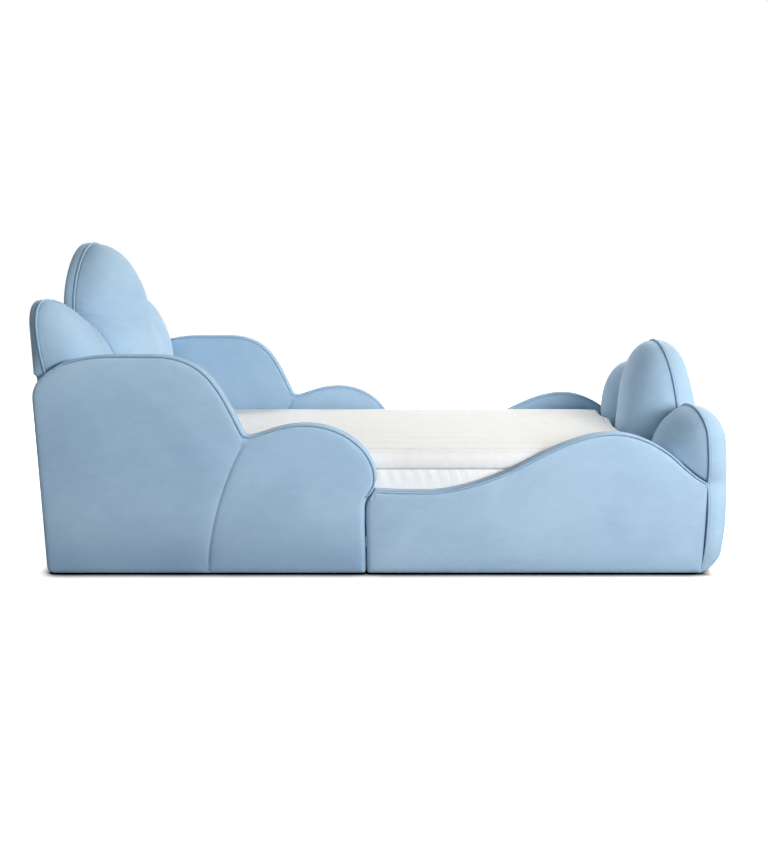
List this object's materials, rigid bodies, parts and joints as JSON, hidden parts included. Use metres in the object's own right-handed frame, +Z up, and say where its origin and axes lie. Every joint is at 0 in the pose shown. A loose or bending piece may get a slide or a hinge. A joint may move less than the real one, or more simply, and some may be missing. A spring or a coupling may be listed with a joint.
{
  "type": "upholstered children's bed",
  "caption": "Padded velvet children's bed with a cloud-shaped headboard, footboard and sides, a low way in at each side, and a quilted mattress on slats.",
  "frame": {"origin": "on the floor, under the middle of the bed's bounding box", "axes": "+X towards the foot, -X towards the headboard, -Y to the left long side as seen from the foot, +Z up"},
  "size_m": [2.526, 1.136, 1.2325],
  "materials": {
    "velvet": "short-pile velvet",
    "welt": "velvet-covered cord",
    "plywood": "raw plywood",
    "pine": "planed, unvarnished",
    "steel": "zinc-plated",
    "black_plastic": "moulded",
    "webbing": "woven tape",
    "ticking": "knitted ticking"
  },
  "bodies": {
    "bed": {"headboard_board": "plywood", "headboard_back_cover": "velvet", "headboard_lobe_left": "velvet", "headboard_lobe_middle": "velvet", "headboard_lobe_right": "velvet", "headboard_welt_cord": "welt", "footboard_board": "plywood", "footboard_outer_pad": "velvet", "footboard_lobe_left": "velvet", "footboard_lobe_middle": "velvet", "footboard_lobe_right": "velvet", "footboard_welt_cord": "welt", "left_head_board": "plywood", "left_head_cover": "velvet", "left_head_welt_cords": "welt", "left_foot_board": "plywood", "left_foot_cover": "velvet", "left_foot_welt_cords": "welt", "right_head_board": "plywood", "right_head_cover": "velvet", "right_head_welt_cords": "welt", "right_foot_board": "plywood", "right_foot_cover": "velvet", "right_foot_welt_cords": "welt", "left_ledger_rail": "pine", "right_ledger_rail": "pine", "ledger_bolts": "steel", "head_cross_rail": "pine", "foot_cross_rail": "pine", "cross_rail_bolts": "steel", "centre_beam": "pine", "beam_hangers": "steel", "centre_legs": "pine", "corner_angles": "steel", "joining_plates": "steel", "bracket_screws": "steel", "floor_glides": "black_plastic", "slats": "pine", "slat_webbing": "webbing", "slat_screws": "steel"},
    "mattress": {"mattress_core": "ticking", "mattress_pillow_top": "ticking"}
  },
  "joints": [
    {"name": "mattress_lift", "type": "slide", "parent": "bed", "child": "mattress", "axis": [0, 0, 1], "range_m": [0, 0.45]}
  ]
}
